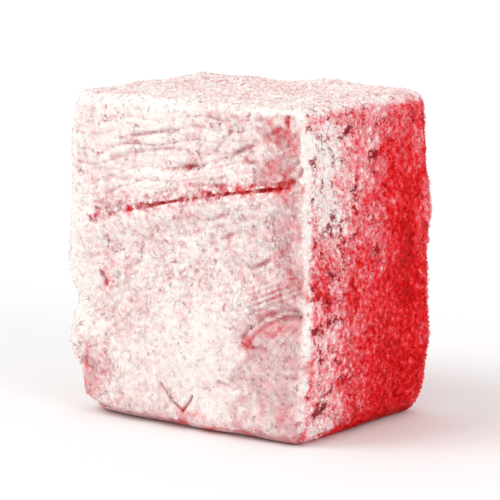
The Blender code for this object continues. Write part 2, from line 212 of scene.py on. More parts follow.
# How thickly the sugar lies, from 0, bare jelly, to 1, a white coat. Each wall has a level, and
# patches change it: (run, height, radius along run and radius in height, all in millimetres, the
# change, how much drier). Their outlines are ragged.
FRONT_COVER = 0.81
LEFT_COVER = 0.80
BACK_COVER = 0.50
TOP_COVER = 0.84
RIGHT_COVER_NEAR = 0.56
RIGHT_COVER_FAR = 0.17
RIGHT_COVER_FALLS = (0.0, 12.5 * MM)
CORNER_SOFTNESS = 0.8 * MM
PATCHES = (
    # The front.
    (-3.0, 24.4, 8.0, 3.6, 0.13, 0.0),
    (-7.0, 20.8, 4.0, 1.8, 0.08, 0.0),
    (-3.6, 20.4, 2.2, 1.3, 0.15, 0.0),
    (0.5, 21.8, 0.9, 0.4, -0.04, 0.4),
    (-11.6, 17.3, 1.5, 1.4, 0.24, 0.0),
    (-11.0, 12.2, 1.7, 4.6, 0.27, 0.0),
    (-8.3, 4.4, 1.5, 1.7, -0.10, 0.0),
    (10.9, 25.0, 1.9, 2.0, -0.32, 0.1),
    (11.3, 1.5, 1.3, 1.4, -0.15, 0.0),
    (3.9, 25.9, 1.6, 1.1, -0.10, 0.0),
    (10.7, 20.3, 1.6, 1.4, -0.14, 0.0),
    (10.6, 15.0, 2.0, 1.9, -0.13, 0.0),
    (6.6, 14.4, 1.6, 1.5, -0.08, 0.0),
    (10.2, 16.4, 1.7, 4.6, -0.24, 0.0),
    (10.0, 13.2, 1.5, 1.3, -0.12, 0.1),
    (9.4, 3.0, 1.6, 1.4, -0.12, 0.1),
    (9.6, 22.4, 2.1, 1.6, -0.38, 0.04),
    (9.3, 25.0, 1.2, 1.2, -0.20, 0.2),
    (9.8, 25.6, 0.35, 0.7, -0.16, 0.4),
    (7.8, 9.9, 2.4, 0.8, -0.16, 0.32),
    (5.9, 8.4, 0.9, 0.9, -0.16, 0.36),
    (-8.2, 11.8, 0.9, 0.9, -0.06, 0.7),
    (-9.8, 2.2, 1.8, 2.2, -0.26, 0.2),
    (-9.7, 5.2, 0.45, 1.1, -0.26, 0.3),
    (-7.8, 5.3, 0.40, 0.8, -0.24, 0.2),
    (-6.0, 12.9, 1.4, 1.1, -0.12, 0.2),
    (1.0, 5.4, 5.0, 3.8, 0.07, 0.0),
    (1.4, 15.0, 1.6, 1.3, 0.12, 0.0),
    (1.5, 0.7, 4.5, 0.8, -0.26, 0.5),
    (-0.8, 1.7, 2.2, 1.6, -0.06, 0.0),
    (6.9, 1.5, 3.2, 1.7, 0.16, 0.0),
    (6.3, 5.4, 1.0, 2.2, 0.09, 0.0),
    # The right wall.
    (14.4, 23.0, 2.9, 4.2, 0.60, 0.0),
    (21.2, 23.2, 2.2, 2.0, 0.17, 0.0),
    (22.0, 26.2, 4.0, 1.4, 0.32, 0.0),
    (20.7, 25.2, 1.3, 1.5, 0.12, 0.0),
    (16.0, 26.0, 1.4, 1.2, -0.24, 0.0),
    (27.5, 22.9, 1.8, 1.3, 0.12, 0.0),
    (23.5, 22.8, 1.2, 1.1, -0.22, 0.0),
    (19.0, 20.4, 2.7, 2.5, 0.20, 0.0),
    (20.8, 17.4, 1.5, 1.6, 0.15, 0.0),
    (22.0, 14.8, 1.3, 1.8, 0.28, 0.0),
    (18.1, 12.2, 1.5, 1.5, -0.28, 0.0),
    (15.2, 17.6, 1.9, 1.8, 0.24, 0.0),
    (13.2, 13.2, 2.2, 2.0, -0.27, 0.0),
    (16.8, 9.4, 3.4, 1.4, 0.09, 0.0),
    (14.0, 6.4, 3.0, 4.8, 0.10, 0.0),
    (20.9, 5.2, 1.8, 2.7, -0.11, 0.0),
    (24.6, 23.6, 4.4, 3.6, 0.18, 0.0),
    (26.0, 4.0, 4.0, 3.6, -0.07, 0.0),
    (13.3, 0.3, 2.4, 1.4, 0.42, 0.0),
    (17.4, 15.6, 2.6, 3.4, 0.12, 0.0),
    (28.4, 17.0, 1.3, 2.4, 0.28, 0.0),
    (26.0, 14.8, 1.3, 3.4, -0.22, 0.0),
    (15.4, 3.0, 3.2, 2.8, 0.12, 0.0),
    # The back and the left wall.
    (35.8, 17.0, 2.1, 2.4, -0.32, 0.0),
    (33.0, 6.0, 4.0, 3.6, 0.22, 0.0),
    (-38.0, 20.0, 4.0, 4.0, 0.24, 0.0),
    (-37.2, 9.0, 2.6, 1.8, -0.26, 0.0),
    (-20.8, 15.5, 1.9, 3.0, -0.30, 0.1),
    (-26.0, 4.0, 3.4, 3.0, -0.22, 0.0),
)
PATCH_RAGGED = 1.3 * MM
PATCH_RAGGED_SIZE = 1.6 * MM
BLOTCHES = ((4.2 * MM, 0.12), (1.7 * MM, 0.12), (0.8 * MM, 0.09))

# Thicker sugar on all edges and, most of all, down the near one, and thinner sugar at the base, whose
# darker red band also paints shade along the foot.
EDGE_COVER = 0.20
EDGE_STARTS = (0.25, 0.65)
EDGE_ABOVE = 2.0 * MM
NEAR_EDGE_COVER = 0.20
NEAR_EDGE_AT = HALF_WIDTH + 0.15 * MM
NEAR_EDGE_HALF = 0.60 * MM
EDGE_UNEVEN = 1.2
EDGE_UNEVEN_SIZE = 1.6 * MM
BOTTOM_BARE_AND_SHADE = 0.26
BOTTOM_REACH = 0.8 * MM

# Bare jelly at the fold: its line, a second line above it on the right, and a speckled band just
# above it, as (run in millimetres, share).
FOLD_BARE = 0.44
FOLD_BARE_HALF = 0.10 * MM
FOLD_BARE_LEVEL = 0.85
FOLD_BARE_UNEVEN = 0.9
FOLD_BARE_BREAKS = 1.1 * MM
FOLD_BARE_SEED = 8.1
SECOND_LINE = ((5.4, 0.0), (6.6, 0.26), (9.4, 0.28), (10.6, 0.12), (11.2, 0.0))
SECOND_LINE_ABOVE = 0.66 * MM
BAND = (
    (-11.4, 0.0), (-9.3, 0.16), (-7.3, 0.26), (-3.6, 0.28), (-1.0, 0.12), (1.6, 0.18), (3.8, 0.29),
    (5.8, 0.26), (9.6, 0.24), (11.0, 0.0),
)
BAND_ABOVE = 0.22 * MM
BAND_HALF = 0.62 * MM

# The thin damp film at the low right of the front, where the jelly shows through as greyish pink.
FILM_OUTLINE = (
    (5.3, -1.2), (4.6, 2.3), (5.6, 4.0), (4.3, 4.8), (4.8, 5.6), (6.2, 7.1), (5.6, 8.4),
    (7.2, 9.8), (9.6, 10.6), (12.6, 11.0), (12.8, -1.0),
)
FILM_COVER = -0.21
FILM_EDGE = 0.16 * MM
FILM_RAGGED = 0.30 * MM
FILM_RAGGED_SIZE = 0.9 * MM

# Fine parallel streaks: middle, rise over run, spacing, length, reach across, how much barer.
# The wrinkles are streaks too, with narrower lines in the bottoms of the furrows: thinner sugar and
# painted shade.
WRINKLE_BARE_AND_SHADE = 0.27
WRINKLE_LINE = 0.085
STREAK_LINE = 0.24
STREAK_WHOLE = 0.9
STREAK_UNEVEN = 1.2
STREAK_BREAKS = 1.0 * MM
STREAKS = (
    ((2.9 * MM, 17.1 * MM), 0.28, 0.66 * MM, 5.6 * MM, 1.30 * MM, 0.13),
    ((9.0 * MM, 12.1 * MM), 0.43, 0.47 * MM, 3.2 * MM, 1.05 * MM, 0.34),
    ((9.9 * MM, 8.7 * MM), 1.20, 0.50 * MM, 1.1 * MM, 1.30 * MM, 0.30),
)

# Dry sugar shows the jelly as clear pink, damp sugar as greyish pink, whose grey is partly painted
# shade: 1 dry, 0 damp.
FRONT_DRY = 0.13
LEFT_DRY = 0.45
TOP_DRY = 0.35
FOLD_DRY = ((-12.0, 0.20), (-4.0, 0.36), (0.0, 0.52), (11.0, 0.58))
FOLD_DRY_HALF = 0.75 * MM
DRY_UNEVEN = 0.55
DRY_UNEVEN_SIZE = 1.0 * MM

# How common small bare spots are in the sugar, with a column of them beside the near edge. The material
# also darkens the spots with painted shade.
FRONT_HOLES = 0.27
NEAR_HOLES = 0.65
FAR_HOLES = 0.45
OTHER_HOLES = 0.42
CAKE_HOLES = -0.15
FILM_HOLES = -0.12
FOLD_HOLES = 0.55
COLUMN_HOLES = 0.34
COLUMN_AT = 13.5 * MM
COLUMN_HALF = 0.7 * MM

# Relief of the sugar: its thickness, the thick cake on the front, and its grain.
COAT = 0.16 * MM
CAKE = 0.16 * MM
CAKE_MIDDLE = (0.4 * MM, 5.6 * MM)
CAKE_RADII = (7.0 * MM, 5.4 * MM)
CAKE_EDGE = 0.06
CAKE_COVER = 0.02
CAKE_SPECKS = -0.16
FILM_SPECKS = -0.20
CAKE_RAGGED = ((2.2 * MM, 0.35), (0.7 * MM, 0.12))
GRAIN = ((1.05 * MM, 0.040 * MM), (0.46 * MM, 0.050 * MM), (0.27 * MM, 0.030 * MM))
FINEST_SHARE = 0.5
GRAIN_ON_JELLY = 0.55
PIT_SIZE = 0.46 * MM
PIT_DEPTH = 0.10 * MM
PIT_SHARE = (0.38, 0.68)

# How strongly the grain shows in the colour.
FRONT_SPECKS = 0.58
NEAR_SPECKS = 1.00
FAR_SPECKS = 0.75
FOLD_SPECKS = 0.9

# Shifts of the noises, so that no two of them follow each other.
SHIFTS = {
    "bend": 4.6, "cake": 1.7, "film": 5.2, "patch_run": 4.1, "patch_height": 8.7, "edge": 6.6,
    "crease": 2.9, "blotch": 7.3, "dry": 5.9, "streak": 2.4, "grain": 3.1, "pit": 9.4,
}

# Loose grains on the skin: name, random seed, how many, roundness steps, unevenness, smallest and
# largest size, and how much whiter than the skin they are.
GRAIN_VARIANTS = 8
GRAIN_UNDER = -0.7
GRAIN_FLOOR = 0.25 * MM
GRAIN_PROUD = 0.12
GRAIN_SIZE_BIAS = 1.7
GRAIN_SQUASH = (0.55, 1.25)
GRAIN_SPECKS = 0.3
GRAIN_PALER = 0.08
ON_BARE_JELLY = 0.25
FRONT_GRAINS = 0.36
WRINKLED_GRAINS = 0.20
TOP_GRAINS = 0.75
GRAIN_KINDS = (
    ("sugar_dust", 11, 24000, 0, 0.30, (0.10 * MM, 0.22 * MM), 0.05),
    ("sugar_grains", 12, 9500, 1, 0.30, (0.16 * MM, 0.30 * MM), 0.08),
    ("sugar_lumps", 13, 1500, 2, 0.26, (0.26 * MM, 0.48 * MM), 0.08),
)

# Mesh lines of the skin. The front and the right wall are cut twice as finely.
LINE_STEP = 0.30 * MM
FOLD_ZONE = 1.0 * MM
FOLD_ZONE_STEP = 0.15 * MM
SAME_PLACE = 0.001 * MM

# Colours from bare jelly to a white coat, for dry and for damp sugar. Their darker steps also hold
# painted shade, as of pits between the grains, and the greyer damp ones hold more of it.
DRY_COLOURS_WITH_SHADE = (
    (0.00, (0.480, 0.002, 0.003)),
    (0.10, (0.680, 0.003, 0.005)),
    (0.20, (0.800, 0.014, 0.019)),
    (0.32, (0.810, 0.055, 0.067)),
    (0.46, (0.835, 0.160, 0.185)),
    (0.62, (0.905, 0.355, 0.378)),
    (0.80, (0.970, 0.640, 0.645)),
    (1.00, (0.985, 0.880, 0.845)),
)
DAMP_COLOURS_WITH_SHADE = (
    (0.00, (0.500, 0.022, 0.025)),
    (0.15, (0.560, 0.110, 0.114)),
    (0.30, (0.590, 0.235, 0.240)),
    (0.45, (0.630, 0.365, 0.366)),
    (0.60, (0.715, 0.505, 0.498)),
    (0.75, (0.840, 0.688, 0.667)),
    (0.88, (0.935, 0.820, 0.789)),
    (1.00, (0.985, 0.890, 0.850)),
)

# The skin's material: fine grain, bare spots, painted shade in the pits and spots, gloss and depth.
FINE_SIZE = 0.25 * MM
FINE_DETAIL = 3.0
FINE_ROUGHNESS = 0.65
FINE_CONTRAST = 1.10
GRAIN_CONTRAST = 0.42
PIT_CONTRAST = -0.20
SPOT_SIZE_DAMP = 0.56 * MM
SPOT_SIZE_DRY = 1.15 * MM
SPOT_DETAIL = 2.0
SPOT_ROUGHNESS = 0.60
SPOT_CURL = 0.35
SPOT_COMMON = 0.16
SPOT_EDGE = (0.64, 0.76)
SPOT_BARE = -0.44
STREAK_EDGE = 1.8
SHADE_IN_PITS = 0.30
SHADE_IN_SPOTS = 0.90
SHADE_WHEN_DAMP = 0.24
SHADE_NEEDS_COVER = (0.10, 0.55)
SHADE = (0.28, 0.23, 0.25)
ROUGH_FROM = (0.1, 0.7)
ROUGH_TO = (0.45, 0.90)
SPECULAR = 0.05
SCATTER_WEIGHT = 0.25
SCATTER_RADIUS = (1.0, 0.22, 0.18)
SCATTER_REACH = 1.1 * MM
BUMP_STRENGTH = 0.5
BUMP_DEPTH = 0.05 * MM

# Floor and light.
FLOOR_HALF = 3.0
FLOOR_WHITE = 0.92
FLOOR_ROUGHNESS = 0.9
FLOOR_SPECULAR = 0.1
SURROUND = 0.80
KEY_STRENGTH = 0.94
KEY_DEGREES = 30
KEY_FROM = (-0.40, -0.50, 0.80)
FILL_STRENGTH = 0.55
FILL_DEGREES = 25
FILL_FROM = (0.85, -0.30, 0.45)

# Camera: at the photograph's angle, as far away as its perspective says.
CAMERA_AZIMUTH = 36.5
CAMERA_ELEVATION = 10.0
CAMERA_DISTANCE = 0.235
CAMERA_LENS = 205
CAMERA_CLIP = 0.01


def blend(low, high, value):
    """0 below low, 1 above high, and a smooth step between."""
    share = np.clip((value - low) / (high - low), 0.0, 1.0)
    return share * share * (3 - 2 * share)


def hump(distance, half):
    """A smooth bump, 1 in the middle and about a third at half."""
    return np.exp(-((distance / half) ** 2))


def through(points, value):
    """The parabola through three points, read at value."""
    (x0, y0), (x1, y1), (x2, y2) = points
    share0 = (value - x1) * (value - x2) / ((x0 - x1) * (x0 - x2))
    share1 = (value - x0) * (value - x2) / ((x1 - x0) * (x1 - x2))
    share2 = (value - x0) * (value - x1) / ((x2 - x0) * (x2 - x1))
    return y0 * share0 + y1 * share1 + y2 * share2


def read_along(table, run):
    """A table of (run in millimetres, number), read at run with straight lines between its rows."""
    places, numbers = zip(*table)
    return np.interp(run / MM, places, numbers)


def noise_at(places, size, shift=0.0):
    """Smooth noise at each row of places, with features of about that size."""
    rows = (places / size + shift).tolist()
    return np.array([noise.noise(row) for row in rows])


def noise_along(run, size, second, third):
    """Smooth noise along run, with one line of it for each second and third number."""
    rows = np.stack([run / size, second + 0 * run, third + 0 * run], axis=1).tolist()
    return np.array([noise.noise(row) for row in rows])


def run_of(q):
    """The way round the walls at points of the plain block, from the wall nearest to each."""
    x, y = q[:, 0], q[:, 1]
    away = [y + HALF_DEPTH, HALF_WIDTH - x, x + HALF_WIDTH, HALF_DEPTH - y]
    runs = [
        x,
        HALF_WIDTH + HALF_DEPTH + y,
        -HALF_WIDTH - HALF_DEPTH - y,
        np.copysign(WIDTH + DEPTH - np.abs(x), x),
    ]
    return np.choose(np.argmin(away, axis=0), runs)


def fold_drift(run, level):
    """How far a level line rises to follow the deep fold."""
    inside = np.clip(run, FOLD_LEFT[0], FOLD_RIGHT[0])
    rise = through((FOLD_LEFT, FOLD_MIDDLE, FOLD_RIGHT), inside) - FOLD_MIDDLE[1]
    wrap = 1 - blend(HALF_WIDTH - FOLD_WRAP_FROM, HALF_WIDTH + FOLD_WRAP, np.abs(run))
    above = (HEIGHT - level) / (HEIGHT - FOLD_MIDDLE[1])
    share = np.where(level > FOLD_MIDDLE[1], above, level / FOLD_MIDDLE[1])
    return rise * wrap * share


def fold_strength(run):
    """1 across the front, fading round the left corner and before the near one."""
    return blend(*FOLD_FADES_LEFT, run) * (1 - blend(*FOLD_FADES_RIGHT, run))


def deep_fold(run, level):
    """The groove with a lip on each side."""
    away = level - FOLD_MIDDLE[1]
    waver = FOLD_LEVEL + FOLD_WAVER * noise_along(run, FOLD_WAVER_SIZE, FOLD_SEED, 0)
    groove = FOLD_DEPTH * waver * read_along(FOLD_OPEN, run) * hump(away, FOLD_HALF)
    lips = hump(away - FOLD_LIP_AWAY, FOLD_LIP_AWAY) + hump(away + FOLD_LIP_AWAY, FOLD_LIP_AWAY)
    return fold_strength(run) * (FOLD_LIP * lips - groove)


def fold_overhang(run, level):
    """How far the upper lip hangs down over the groove."""
    away = level - FOLD_MIDDLE[1] - OVERHANG_AWAY
    return -FOLD_OVERHANG * fold_strength(run) * hump(away, OVERHANG_HALF)


def wrinkle_phase(q, level):
    """The wrinkles above the fold, counted upward: a whole number in the bottom of each."""
    bent = level + WRINKLE_BEND * noise_at(q, WRINKLE_BEND_SIZE, SHIFTS["bend"])
    return (bent - WRINKLE_FIRST) / WRINKLE_STEP


def wrinkle_strength(run, phase):
    """How strong the wrinkle nearest to each point is, 0 where there is none."""
    number = np.round(phase)
    step, place = WRINKLE_SEEDS
    fade = 1 - WRINKLE_WAVER * (0.5 - noise_along(run, WRINKLE_WAVER_SIZE, number * step, place))
    ends = blend(*WRINKLE_FADES_LEFT, run) * (1 - blend(*WRINKLE_FADES_RIGHT, run))
    return np.where((number >= 0) & (number < WRINKLE_COUNT), fade * ends, 0.0)


def wrinkles(q, run, level):
    """1 in the bottom of a wrinkle and 0 on the ridges between them."""
    phase = wrinkle_phase(q, level)
    furrow = np.cos(math.pi * (phase - np.round(phase))) ** (2 * WRINKLE_SHARPNESS)
    return furrow * wrinkle_strength(run, phase)


def path_distance(points, run, height):
    """How far places on the unrolled walls lie from a path, whose points are in millimetres."""
    nearest = np.full(len(run), HEIGHT)
    for start, stop in zip(points, points[1:]):
        x, y = run - start[0] * MM, height - start[1] * MM
        along_x, along_y = (stop[0] - start[0]) * MM, (stop[1] - start[1]) * MM
        share = np.clip((x * along_x + y * along_y) / (along_x**2 + along_y**2), 0.0, 1.0)
        nearest = np.minimum(nearest, np.hypot(x - along_x * share, y - along_y * share))
    return nearest


def within(outline, run, height):
    """Whether places on the unrolled walls lie inside an outline with no level sides."""
    inside = np.zeros(len(run), bool)
    for (x0, y0), (x1, y1) in zip(outline, outline[1:] + outline[:1]):
        between = (height > y0 * MM) != (height > y1 * MM)
        crossing = x0 * MM + (height - y0 * MM) * (x1 - x0) / (y1 - y0)
        inside ^= between & (run < crossing)
    return inside


def cut(lines, run, height):
    """The relief of furrows or creases with paths of their own, 0 or less."""
    return sum(-depth * hump(path_distance(points, run, height), half) for depth, half, points in lines)


def drag(along, across, half_length, slope, push):
    """One shallow knife drag, as a groove of fixed width that fades at its ends."""
    return push * hump(along, half_length) * hump(across - slope * along, DRAG_HALF)


def wall_relief(q, run, level, height):
    """All that is pressed or folded into the side walls, outward positive."""
    relief = deep_fold(run, level) - WRINKLE_DEPTH * wrinkles(q, run, level)
    relief += cut(FURROWS, run, height)
    for middle, mid_height, run_radius, height_radius, push in PRESSED:
        relief += push * hump(run - middle, run_radius) * hump(height - mid_height, height_radius)
    for middle, mid_height, half_length, slope, push in WALL_DRAGS:
        relief += drag(run - middle, height - mid_height, half_length, slope, push)
    away = height - SWELL_HEIGHT
    return relief + SWELL * hump(np.where(away < 0, away * SWELL_BELOW, away), SWELL_REACH)


def top_relief(q):
    """The dished top with its drags, upward positive."""
    across = hump(q[:, 0], TOP_DISH_SHARE * HALF_WIDTH)
    relief = -TOP_DISH * across * hump(q[:, 1], TOP_DISH_SHARE * HALF_DEPTH)
    for x, y, half_length, slope, push in TOP_DRAGS:
        relief += drag(q[:, 0] - x, q[:, 1] - y, half_length, slope, push)
    return relief


def at_corner(q, side):
    """1 at the front corner on that side, 1 for the right and -1 for the left, and 0 away from it."""
    return hump(q[:, 0] - side * HALF_WIDTH, CORNER_REACH) * hump(q[:, 1] + HALF_DEPTH, CORNER_REACH)


def edge_radius(q):
    """The rounding radius near points of the plain block."""
    near_corner = at_corner(q, 1)
    low = 1 - blend(0, BASE_RADIUS_REACH, q[:, 2])
    radius = TOP_RADIUS + (BASE_RADIUS - TOP_RADIUS) * low
    radius *= 1 - (1 - NEAR_CORNER_SHARE) * near_corner
    worn = 1 - blend(0, WORN_HEIGHT, q[:, 2])
    radius += worn * (WORN_LEFT * at_corner(q, -1) + WORN_NEAR * near_corner)
    return radius * (1 + RADIUS_WAVER * noise_at(q, RADIUS_WAVER_SIZE))


def shaped(q):
    """The solid's surface at points of the plain block, and the way outward, run and height there."""
    radius = edge_radius(q)
    halves = (HALF_WIDTH, HALF_DEPTH)
    core = np.stack(
        [np.clip(q[:, i], radius - halves[i], halves[i] - radius) for i in (0, 1)]
        + [np.clip(q[:, 2], radius, HEIGHT - radius)],
        axis=1,
    )
    outward = q - core
    outward /= np.linalg.norm(outward, axis=1)[:, None]
    run, level = run_of(q), q[:, 2]
    on_wall = np.hypot(outward[:, 0], outward[:, 1])
    drift = on_wall * (fold_drift(run, level) + fold_overhang(run, level))
    height = level + drift
    creases = [(depth * MM, half * MM, points) for depth, half, bare, points in CREASES]
    relief = on_wall * (wall_relief(q, run, level, height) + cut(creases, run, height))
    relief *= blend(*ABOVE_BASE, level)
    relief += np.maximum(outward[:, 2], 0) ** 2 * top_relief(q)
    lumps = sum(high * noise_at(q, size) for size, high in LUMPS)
    relief += lumps * (1 - blend(*UNDERSIDE, -outward[:, 2]))
    p = core + outward * (radius + relief)[:, None]
    p[:, 2] += drift
    p[:, 0] += LEAN * 4 * (p[:, 2] / HEIGHT) * (1 - p[:, 2] / HEIGHT)
    p[:, 2] = np.maximum(p[:, 2], 0.0)
    return p, outward, run, height


def cake(q, run, height):
    """1 on the thick cake of sugar on the front, 0 off it, with a ragged edge."""
    along = (run - CAKE_MIDDLE[0]) / CAKE_RADII[0]
    up = (height - CAKE_MIDDLE[1]) / CAKE_RADII[1]
    ragged = sum(change * noise_at(q, size, SHIFTS["cake"]) for size, change in CAKE_RAGGED)
    return blend(-CAKE_EDGE, CAKE_EDGE, 1 - np.hypot(along, up) + ragged) * (q[:, 1] < 0)


def film(q, run, height):
    """1 on the damp film at the low right of the front, 0 off it, with a crisp scalloped edge."""
    edge = path_distance(FILM_OUTLINE + FILM_OUTLINE[:1], run, height)
    signed = np.where(within(FILM_OUTLINE, run, height), edge, -edge)
    ragged = FILM_RAGGED * noise_at(q, FILM_RAGGED_SIZE, SHIFTS["film"])
    return blend(-FILM_EDGE, FILM_EDGE, signed + ragged)


def fold_bareness(run, level):
    """How much sugar is missing along the fold, its second line and the speckled band."""
    away = level - FOLD_MIDDLE[1]
    waver = noise_along(run, FOLD_BARE_BREAKS, FOLD_BARE_SEED, 0)
    broken = FOLD_BARE_LEVEL + FOLD_BARE_UNEVEN * waver
    line = FOLD_BARE * read_along(FOLD_OPEN, run) * hump(away, FOLD_BARE_HALF)
    second = read_along(SECOND_LINE, run) * hump(away - SECOND_LINE_ABOVE, FOLD_BARE_HALF)
    band = read_along(BAND, run) * hump(away - BAND_ABOVE, BAND_HALF)
    return fold_strength(run) * (broken * (line + second) + band)


def by_wall(run, front, right, left, back):
    """A number for each wall, with a soft change at each corner."""
    past_right = blend(HALF_WIDTH - CORNER_SOFTNESS, HALF_WIDTH + CORNER_SOFTNESS, run)
    past_left = blend(HALF_WIDTH - CORNER_SOFTNESS, HALF_WIDTH + CORNER_SOFTNESS, -run)
    to_back = HALF_WIDTH + DEPTH
    past_back = blend(to_back - CORNER_SOFTNESS, to_back + CORNER_SOFTNESS, np.abs(run))
    number = front + (right - front) * past_right + (left - front) * past_left
    return number + (back - number) * past_back


def patch_humps(q, run, height):
    """Each patch of PATCHES as its two changes and where on the walls it is, with a ragged outline."""
    run = run + PATCH_RAGGED * noise_at(q, PATCH_RAGGED_SIZE, SHIFTS["patch_run"])
    height = height + PATCH_RAGGED * noise_at(q, PATCH_RAGGED_SIZE, SHIFTS["patch_height"])
    for middle, mid_height, run_radius, height_radius, change, drier in PATCHES:
        across = hump(run - middle * MM, run_radius * MM)
        yield change, drier, across * hump(height - mid_height * MM, height_radius * MM)


def far_share(run):
    """0 at the near edge of the right wall and 1 toward its far edge."""
    start, stop = RIGHT_COVER_FALLS
    return blend(HALF_WIDTH + start, HALF_WIDTH + stop, run)


def sugar_cover(q, outward, run, height):
    """How thickly the sugar lies at each point, from 0, bare jelly, to 1, a white coat."""
    level = q[:, 2]
    right = RIGHT_COVER_NEAR + (RIGHT_COVER_FAR - RIGHT_COVER_NEAR) * far_share(run)
    wall = by_wall(run, FRONT_COVER, right, LEFT_COVER, BACK_COVER)
    wall += sum(change * where for change, drier, where in patch_humps(q, run, height))
    wall += FILM_COVER * film(q, run, height)
    whole = 1 + EDGE_UNEVEN * noise_at(q, EDGE_UNEVEN_SIZE, SHIFTS["edge"])
    wall += NEAR_EDGE_COVER * whole * hump(run - NEAR_EDGE_AT, NEAR_EDGE_HALF)
    wall -= fold_bareness(run, level)
    # Thinner sugar along the base: a darker red band that is also painted shade.
    wall -= BOTTOM_BARE_AND_SHADE * (1 - blend(0, BOTTOM_REACH, height))
    # Creases: missing sugar, which also paints shade along them.
    waver = noise_at(q, CREASE_BREAKS, SHIFTS["crease"])
    unbroken = np.clip(CREASE_WHOLE + CREASE_UNEVEN * waver, 0, None)
    for depth, half, bare, points in CREASES:
        wall -= bare * unbroken * hump(path_distance(points, run, height), half * MM)
    upward = np.maximum(outward[:, 2], 0) ** 2
    cover = wall + (TOP_COVER - wall) * upward
    corner = np.sort(np.abs(outward), axis=1)[:, 1]
    cover += EDGE_COVER * whole * blend(*EDGE_STARTS, corner) * (level > EDGE_ABOVE)
    return cover + sum(change * noise_at(q, size, SHIFTS["blotch"]) for size, change in BLOTCHES)


def dryness(q, outward, run, height):
    """Whether thin sugar shows the jelly as clear pink, 1, or as greyish pink, 0."""
    dry = by_wall(run, FRONT_DRY, 1.0, LEFT_DRY, 1.0)
    dry += (1 - dry) * DRY_UNEVEN * noise_at(q, DRY_UNEVEN_SIZE, SHIFTS["dry"])
    dry += sum(drier * where for change, drier, where in patch_humps(q, run, height))
    at_fold = fold_strength(run) * hump(q[:, 2] - FOLD_MIDDLE[1], FOLD_DRY_HALF)
    dry += read_along(FOLD_DRY, run) * at_fold
    upward = np.maximum(outward[:, 2], 0) ** 2
    return np.clip(dry + (TOP_DRY - dry) * upward, 0, 1)


def bare_spots(q, run):
    """How common small bare spots are in the sugar at each point."""
    right = NEAR_HOLES + (FAR_HOLES - NEAR_HOLES) * far_share(run)
    holes = by_wall(run, FRONT_HOLES, right, OTHER_HOLES, OTHER_HOLES)
    holes += COLUMN_HOLES * hump(run - COLUMN_AT, COLUMN_HALF)
    return holes + FOLD_HOLES * fold_strength(run) * hump(q[:, 2] - FOLD_MIDDLE[1], BAND_HALF)


def graininess(outward, run, level):
    """How many loose grains lie at each point, as a share of those on the right wall."""
    wrinkled = FRONT_GRAINS + (WRINKLED_GRAINS - FRONT_GRAINS) * blend(*WRINKLED, level)
    wall = by_wall(run, wrinkled, 1.0, 1.0, 1.0)
    return wall + (TOP_GRAINS - wall) * np.maximum(outward[:, 2], 0) ** 2


def streaks(q, run, height):
    """Fine parallel lines: their count across, how strong they are, and their half width as a share."""
    level = q[:, 2]
    phase = wrinkle_phase(q, level)
    # Wrinkle lines: thinner sugar and painted shade in the furrow bottoms.
    strength = WRINKLE_BARE_AND_SHADE * wrinkle_strength(run, phase)
    half = np.full(len(run), WRINKLE_LINE)
    for (x, y), slope, spacing, length, reach, bare in STREAKS:
        long = math.hypot(1, slope)
        along = ((run - x) + slope * (height - y)) / long
        across = ((height - y) - slope * (run - x)) / long
        here = bare * hump(along, length) * hump(across, reach)
        stronger = here > strength
        phase = np.where(stronger, across / spacing, phase)
        half = np.where(stronger, STREAK_LINE, half)
        strength = np.maximum(here, strength)
    broken = STREAK_WHOLE + STREAK_UNEVEN * noise_at(q, STREAK_BREAKS, SHIFTS["streak"])
    return phase, strength * np.clip(broken, 0, None), half


def speckledness(run, level):
    """How strongly the grain shows as specks on each wall."""
    right = NEAR_SPECKS + (FAR_SPECKS - NEAR_SPECKS) * far_share(run)
    specks = by_wall(run, FRONT_SPECKS, right, NEAR_SPECKS, NEAR_SPECKS)
    away = level - FOLD_MIDDLE[1] - BAND_ABOVE
    return specks + FOLD_SPECKS * fold_strength(run) * hump(away, BAND_HALF)


def spread(start, stop, step):
    """Lines evenly from start to stop, without its two ends, about a step apart."""
    steps = max(round((stop - start) / step), 1)
    return [start + (stop - start) * i / steps for i in range(1, steps)]


def slice_block(mesh, axis, lines):
    """Cuts the block's surface along a plane at each line."""
    normal = [float(axis == i) for i in range(3)]
    for line in lines:
        everything = mesh.verts[:] + mesh.edges[:] + mesh.faces[:]
        place = [line * n for n in normal]
        bmesh.ops.bisect_plane(mesh, geom=everything, dist=SAME_PLACE, plane_co=place, plane_no=normal)


def fine_block():
    """The plain block, cut into a fine grid that is twice as fine on the front and the right."""
    mesh = bmesh.new()
    bmesh.ops.create_cube(mesh, size=1.0)
    bmesh.ops.scale(mesh, vec=(WIDTH, DEPTH, HEIGHT), verts=mesh.verts)
    bmesh.ops.translate(mesh, vec=(0, 0, HEIGHT / 2), verts=mesh.verts)
    low, high = FOLD_MIDDLE[1] - FOLD_ZONE, FOLD_MIDDLE[1] + FOLD_ZONE
    slice_block(mesh, 0, spread(-HALF_WIDTH, HALF_WIDTH, LINE_STEP))
    slice_block(mesh, 1, spread(-HALF_DEPTH, HALF_DEPTH, LINE_STEP))
    slice_block(mesh, 2, spread(0, low, LINE_STEP) + [low] + spread(low, high, FOLD_ZONE_STEP))
    slice_block(mesh, 2, [high] + spread(high, HEIGHT, LINE_STEP))
    shown = [
        face
        for face in mesh.faces
        if face.calc_center_median().y < SAME_PLACE - HALF_DEPTH
        or face.calc_center_median().x > HALF_WIDTH - SAME_PLACE
    ]
    edges = list({edge for face in shown for edge in face.edges})
    bmesh.ops.subdivide_edges(mesh, edges=edges, cuts=1, use_grid_fill=True)
    return mesh


def places_of(data):
    """The vertex places of a mesh, one row each."""
    places = np.empty(len(data.vertices) * 3)
    data.vertices.foreach_get("co", places)
    return places.reshape(-1, 3)


